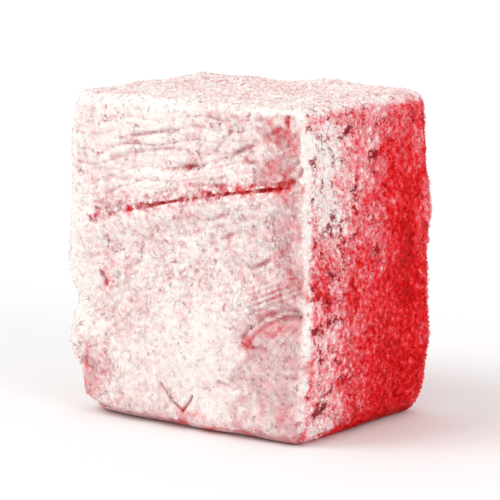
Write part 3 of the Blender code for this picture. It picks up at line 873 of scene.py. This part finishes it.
def normals_of(data):
    """The vertex normals of a mesh, one row each."""
    normals = np.empty(len(data.vertices) * 3, np.float32)
    data.vertex_normals.foreach_get("vector", normals)
    return normals.reshape(-1, 3).astype(float)


def triangles_of(data):
    """The triangles of a mesh, as one row of three vertex numbers each."""
    data.calc_loop_triangles()
    triangles = np.empty(len(data.loop_triangles) * 3, np.int32)
    data.loop_triangles.foreach_get("vertices", triangles)
    return triangles.reshape(-1, 3)


def add_numbers(data, numbers):
    """Stores named numbers for each vertex, for the material and the loose grains."""
    for name, values in numbers.items():
        stored = data.attributes.new(name, "FLOAT", "POINT")
        stored.data.foreach_set("value", values.astype(np.float32))


def number_of(data, name):
    """The number stored for each vertex under that name."""
    values = np.empty(len(data.vertices), np.float32)
    data.attributes[name].data.foreach_get("value", values)
    return values.astype(float)


def show(name, data, material):
    """An object for a mesh, which rides on the part's one body."""
    data.materials.append(material)
    piece = bpy.data.objects.new(name, data)
    bpy.context.scene.collection.objects.link(piece)
    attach(piece, "root")
    return piece


def sugar_relief(coat, caked, grains, pits):
    """How far the sugar stands out: its thickness, the cake, the pits and the grain."""
    relief = COAT * (coat - 1) + CAKE * caked - PIT_DEPTH * pits
    rough = GRAIN_ON_JELLY + (1 - GRAIN_ON_JELLY) * coat
    return relief + rough * sum(high * grain for (size, high), grain in zip(GRAIN, grains))


def settled(p):
    """The points, moved so that their middle is over the solid's, and none of them under the floor."""
    low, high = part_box(NODE)
    for axis in (0, 1):
        middle = (p[:, axis].min() + p[:, axis].max()) / 2
        p[:, axis] += (low[axis] + high[axis]) / 2 - middle
    p[:, 2] = np.maximum(p[:, 2], 0.0)
    return p


def make_skin():
    """The sugared skin, with the numbers that its material reads on its vertices."""
    mesh = fine_block()
    data = bpy.data.meshes.new("sugared_skin")
    mesh.to_mesh(data)
    mesh.free()
    q = places_of(data)
    p, outward, run, height = shaped(q)
    data.vertices.foreach_set("co", p.ravel())
    data.update()
    normals = normals_of(data)
    cover = sugar_cover(q, outward, run, height)
    coat = np.clip(cover, 0, 1)
    filmed = film(q, run, height)
    caked = cake(q, run, height) * (1 - filmed)
    grains = [noise_at(p, size, SHIFTS["grain"]) for size, high in GRAIN]
    pits = blend(*PIT_SHARE, noise_at(p, PIT_SIZE, SHIFTS["pit"]))
    relief = sugar_relief(coat, caked, grains, pits)
    above = blend(0, ABOVE_BASE[1], p[:, 2])
    flat = (p[:, 2] < SAME_PLACE) & (outward[:, 2] < 0)
    p = settled(p + normals * (relief * np.where(flat, 0.0, above))[:, None])
    data.vertices.foreach_set("co", p.ravel())
    phase, strength, half = streaks(q, run, height)
    numbers = {
        "cover": cover + CAKE_COVER * caked,
        "dry": dryness(q, outward, run, height),
        "grain": grains[1] + FINEST_SHARE * grains[2],
        "specks": speckledness(run, q[:, 2]) + CAKE_SPECKS * caked + FILM_SPECKS * filmed,
        "pits": pits,
        "holes": bare_spots(q, run) + CAKE_HOLES * caked + FILM_HOLES * filmed,
        "grains": graininess(outward, run, q[:, 2]),
        "streak_phase": phase,
        "streak_strength": strength,
        "streak_half": half,
    }
    add_numbers(data, numbers)
    data.update()
    data.shade_smooth()
    return data


def crystal(steps, uneven, rng):
    """A rough grain about 1 across: its corners, in several variants, and its triangles."""
    ball = bmesh.new()
    if steps:
        bmesh.ops.create_icosphere(ball, subdivisions=steps, radius=0.5)
    else:
        bmesh.ops.create_cone(ball, segments=4, radius1=0.5, radius2=0, depth=0.5)
        bmesh.ops.mirror(ball, geom=ball.verts[:] + ball.edges[:] + ball.faces[:], axis="Z")
    bmesh.ops.triangulate(ball, faces=ball.faces)
    corners = np.array([v.co for v in ball.verts])
    ball.verts.index_update()
    triangles = np.array([[v.index for v in face.verts] for face in ball.faces])
    ball.free()
    stretch = 1 + uneven * rng.uniform(-1, 1, (GRAIN_VARIANTS, len(corners), 1))
    return corners * stretch, triangles


def random_turns(count, rng):
    """Random rotation matrices, from random quaternions."""
    w, x, y, z = rng.normal(size=(4, count))
    long = np.sqrt(w * w + x * x + y * y + z * z)
    w, x, y, z = w / long, x / long, y / long, z / long
    rows = [
        [1 - 2 * (y * y + z * z), 2 * (x * y - z * w), 2 * (x * z + y * w)],
        [2 * (x * y + z * w), 1 - 2 * (x * x + z * z), 2 * (y * z - x * w)],
        [2 * (x * z - y * w), 2 * (y * z + x * w), 1 - 2 * (x * x + y * y)],
    ]
    return np.moveaxis(np.array(rows), 2, 0)


def scatter(name, skin, seed, count, steps, uneven, sizes, whiter):
    """A mesh of many grains that lie on the skin, more of them where the sugar is thick."""
    rng = np.random.default_rng(seed)
    triangles, places, normals = triangles_of(skin), places_of(skin), normals_of(skin)
    cover, dry, grainy = (number_of(skin, number) for number in ("cover", "dry", "grains"))
    a, b, c = (places[triangles[:, i]] for i in range(3))
    area = np.linalg.norm(np.cross(b - a, c - a), axis=1) / 2
    open_air = (normals[:, 2] > GRAIN_UNDER) & (places[:, 2] > GRAIN_FLOOR)
    weight = (ON_BARE_JELLY + np.clip(cover, 0, 1)) * grainy * open_air
    chance = area * weight[triangles].mean(axis=1)
    chosen = triangles[rng.choice(len(triangles), count, p=chance / chance.sum())]
    shares = rng.dirichlet((1, 1, 1), count)
    place = np.einsum("ni,nij->nj", shares, places[chosen])
    normal = np.einsum("ni,nij->nj", shares, normals[chosen])
    size = sizes[0] * (sizes[1] / sizes[0]) ** (rng.random(count) ** GRAIN_SIZE_BIAS)
    corners, faces = crystal(steps, uneven, rng)
    kind = rng.integers(GRAIN_VARIANTS, size=count)
    grains = corners[kind] * rng.uniform(*GRAIN_SQUASH, (count, 1, 3)) * size[:, None, None]
    grains = np.einsum("nij,nkj->nki", random_turns(count, rng), grains)
    grains += (place + normal * (size * GRAIN_PROUD)[:, None])[:, None, :]
    grains[:, :, 2] = np.maximum(grains[:, :, 2], 0.0)
    each = len(corners[0])
    faces = (faces[None] + each * np.arange(count)[:, None, None]).reshape(-1, 3)
    data = bpy.data.meshes.new(name)
    data.from_pydata(grains.reshape(-1, 3), [], faces)
    paler = whiter + rng.uniform(-GRAIN_PALER, GRAIN_PALER, count)
    own_cover = np.einsum("ni,ni->n", shares, cover[chosen]) + paler
    own_dry = np.einsum("ni,ni->n", shares, dry[chosen])
    numbers = {"cover": own_cover, "dry": own_dry, "specks": np.full(count, GRAIN_SPECKS)}
    add_numbers(data, {key: np.repeat(values, each) for key, values in numbers.items()})
    return data


def link_chain(tree, *sockets):
    """Links sockets in pairs: an output, then the input that it goes to."""
    for start, stop in zip(sockets[::2], sockets[1::2]):
        tree.links.new(start, stop)


def stored(tree, name):
    """The number that the mesh stores under a name."""
    node = tree.nodes.new("ShaderNodeAttribute")
    node.attribute_name = name
    return node.outputs["Fac"]


def maths(tree, operation, *values):
    """A sum of that kind, from sockets and plain numbers."""
    node = tree.nodes.new("ShaderNodeMath")
    node.operation = operation
    for place, value in zip(node.inputs, values):
        if isinstance(value, (int, float)):
            place.default_value = value
        else:
            tree.links.new(value, place)
    return node.outputs[0]


def ranged(tree, value, start, stop, low=0.0, high=1.0):
    """Value brought from the range start to stop into the range low to high, and kept in it."""
    node = tree.nodes.new("ShaderNodeMapRange")
    inputs = (value, start, stop, low, high)
    for name, given in zip(("Value", "From Min", "From Max", "To Min", "To Max"), inputs):
        if isinstance(given, (int, float)):
            node.inputs[name].default_value = given
        else:
            tree.links.new(given, node.inputs[name])
    return node.outputs["Result"]


def ramp(tree, amount, steps):
    """The colour for an amount, between the places and colours of steps."""
    node = tree.nodes.new("ShaderNodeValToRGB")
    elements = node.color_ramp.elements
    for place, colour in steps[1:-1]:
        elements.new(place)
    for element, (place, colour) in zip(elements, steps):
        element.position = place
        element.color = (*colour, 1)
    tree.links.new(amount, node.inputs["Fac"])
    return node.outputs["Color"]


def mixed(tree, kind, share, first, second):
    """Two colours mixed in that way, second over first by share."""
    node = tree.nodes.new("ShaderNodeMix")
    node.data_type = "RGBA"
    node.blend_type = kind
    colours = [socket for socket in node.inputs if socket.type == "RGBA"]
    tree.links.new(share, node.inputs["Factor"])
    for socket, colour in zip(colours, (first, second)):
        if isinstance(colour, tuple):
            socket.default_value = (*colour, 1)
        else:
            tree.links.new(colour, socket)
    return [socket for socket in node.outputs if socket.type == "RGBA"][0]


def cloud(tree, place, size, detail, roughness, curl=0.0):
    """A noise texture with features of about that size."""
    node = tree.nodes.new("ShaderNodeTexNoise")
    node.inputs["Scale"].default_value = 1 / size
    node.inputs["Detail"].default_value = detail
    node.inputs["Roughness"].default_value = roughness
    node.inputs["Distortion"].default_value = curl
    tree.links.new(place, node.inputs["Vector"])
    return node.outputs["Fac"]


def spots(tree, place):
    """1 in the small bare spots, as common as the mesh says and larger where it is dry, 0 elsewhere."""
    small = cloud(tree, place, SPOT_SIZE_DAMP, SPOT_DETAIL, SPOT_ROUGHNESS, SPOT_CURL)
    large = cloud(tree, place, SPOT_SIZE_DRY, SPOT_DETAIL, SPOT_ROUGHNESS, SPOT_CURL)
    larger = maths(tree, "SUBTRACT", large, small)
    uneven = maths(tree, "MULTIPLY_ADD", larger, stored(tree, "dry"), small)
    raised = maths(tree, "MULTIPLY_ADD", stored(tree, "holes"), SPOT_COMMON, uneven)
    return ranged(tree, raised, *SPOT_EDGE)


def streak_lines(tree):
    """The fine parallel lines, as strong as the mesh says."""
    away = maths(tree, "PINGPONG", stored(tree, "streak_phase"), 0.5)
    half = stored(tree, "streak_half")
    edge = maths(tree, "MULTIPLY", half, STREAK_EDGE)
    line = ranged(tree, away, 0.0, edge, 1.0, 0.0)
    return maths(tree, "MULTIPLY", line, stored(tree, "streak_strength"))


def skin_material():
    """Red starch jelly under an uneven coat of icing sugar and starch, with painted shade in its pits
    and spots.
    """
    material = bpy.data.materials.new("sugared_jelly")
    material.use_nodes = True
    tree = material.node_tree
    shader = tree.nodes["Principled BSDF"]
    shader.inputs["Specular IOR Level"].default_value = SPECULAR
    shader.inputs["Subsurface Weight"].default_value = SCATTER_WEIGHT
    shader.inputs["Subsurface Radius"].default_value = SCATTER_RADIUS
    shader.inputs["Subsurface Scale"].default_value = SCATTER_REACH
    place = tree.nodes.new("ShaderNodeTexCoord").outputs["Object"]
    fine = cloud(tree, place, FINE_SIZE, FINE_DETAIL, FINE_ROUGHNESS)
    pits = stored(tree, "pits")
    hole = spots(tree, place)

    speckle = maths(tree, "MULTIPLY_ADD", fine, FINE_CONTRAST, -FINE_CONTRAST / 2)
    speckle = maths(tree, "MULTIPLY_ADD", stored(tree, "grain"), GRAIN_CONTRAST, speckle)
    # The pits come out darker here and below: painted shade in them.
    speckle = maths(tree, "MULTIPLY_ADD", pits, PIT_CONTRAST, speckle)
    amount = maths(tree, "MULTIPLY_ADD", speckle, stored(tree, "specks"), stored(tree, "cover"))
    amount = maths(tree, "SUBTRACT", amount, streak_lines(tree))
    amount = maths(tree, "MULTIPLY", amount, maths(tree, "MULTIPLY_ADD", hole, SPOT_BARE, 1.0))

    # Both ramps hold painted shade in their darker steps.
    dry = stored(tree, "dry")
    colour = mixed(tree, "MIX", dry, ramp(tree, amount, DAMP_COLOURS_WITH_SHADE), ramp(tree, amount, DRY_COLOURS_WITH_SHADE))
    # Painted shade: the colour is darkened toward SHADE in the pits and bare spots, less where the
    # sugar is damp or thin.
    shade = maths(tree, "MULTIPLY", pits, SHADE_IN_PITS)
    shade = maths(tree, "MULTIPLY_ADD", hole, SHADE_IN_SPOTS, shade)
    shade = maths(tree, "MULTIPLY", shade, ranged(tree, dry, 0.0, 1.0, SHADE_WHEN_DAMP, 1.0))
    shade = maths(tree, "MULTIPLY", shade, ranged(tree, stored(tree, "cover"), *SHADE_NEEDS_COVER))
    colour = mixed(tree, "MULTIPLY", shade, colour, SHADE)
    rough = ranged(tree, amount, *ROUGH_FROM, *ROUGH_TO)
    link_chain(tree, colour, shader.inputs["Base Color"], rough, shader.inputs["Roughness"])

    bump = tree.nodes.new("ShaderNodeBump")
    bump.inputs["Strength"].default_value = BUMP_STRENGTH
    bump.inputs["Distance"].default_value = BUMP_DEPTH
    raised = maths(tree, "SUBTRACT", fine, hole)
    link_chain(tree, raised, bump.inputs["Height"], bump.outputs["Normal"], shader.inputs["Normal"])
    return material


def make_floor():
    """A plain white floor that reaches past the view."""
    data = bpy.data.meshes.new("floor")
    corners = [(x * FLOOR_HALF, y * FLOOR_HALF, 0) for x, y in ((-1, -1), (1, -1), (1, 1), (-1, 1))]
    data.from_pydata(corners, [], [(0, 1, 2, 3)])
    material = bpy.data.materials.new("floor")
    material.use_nodes = True
    shader = material.node_tree.nodes["Principled BSDF"]
    shader.inputs["Base Color"].default_value = (FLOOR_WHITE, FLOOR_WHITE, FLOOR_WHITE, 1)
    shader.inputs["Roughness"].default_value = FLOOR_ROUGHNESS
    shader.inputs["Specular IOR Level"].default_value = FLOOR_SPECULAR
    data.materials.append(material)
    floor = bpy.data.objects.new("floor", data)
    bpy.context.scene.collection.objects.link(floor)


def make_sun(name, strength, degrees, start):
    """An even light from the direction of start, some degrees wide so that its shadows are soft."""
    light = bpy.data.lights.new(name, "SUN")
    light.energy = strength
    light.angle = math.radians(degrees)
    lamp = bpy.data.objects.new(name, light)
    lamp.rotation_euler = Vector(start).to_track_quat("Z", "Y").to_euler()
    bpy.context.scene.collection.objects.link(lamp)


def make_light():
    """A white surround, a broad light from the upper left and a weaker one from the right."""
    world = bpy.data.worlds.new("surround")
    bpy.context.scene.world = world
    world.use_nodes = True
    world.node_tree.nodes["Background"].inputs["Color"].default_value = (1, 1, 1, 1)
    world.node_tree.nodes["Background"].inputs["Strength"].default_value = SURROUND
    make_sun("key", KEY_STRENGTH, KEY_DEGREES, KEY_FROM)
    make_sun("fill", FILL_STRENGTH, FILL_DEGREES, FILL_FROM)
    bpy.context.scene.view_settings.view_transform = "Standard"


def make_camera():
    """The photograph's viewing angle, aimed at the middle of the piece."""
    low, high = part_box(NODE)
    centre = (low + high) / 2
    azimuth, elevation = math.radians(CAMERA_AZIMUTH), math.radians(CAMERA_ELEVATION)
    flat = math.cos(elevation)
    back = Vector((math.sin(azimuth) * flat, -math.cos(azimuth) * flat, math.sin(elevation)))
    camera = bpy.data.objects.new("camera", bpy.data.cameras.new("camera"))
    camera.data.lens = CAMERA_LENS
    camera.data.clip_start = CAMERA_CLIP
    camera.location = centre + back * CAMERA_DISTANCE
    camera.rotation_euler = (-back).to_track_quat("-Z", "Y").to_euler()
    bpy.context.scene.collection.objects.link(camera)
    bpy.context.scene.camera = camera


make_camera()
make_light()
make_floor()
sugared_jelly = skin_material()
skin = show("sugared_cube", make_skin(), sugared_jelly)
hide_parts(NODE)
for name, seed, count, steps, uneven, sizes, whiter in GRAIN_KINDS:
    show(name, scatter(name, skin.data, seed, count, steps, uneven, sizes, whiter), sugared_jelly)
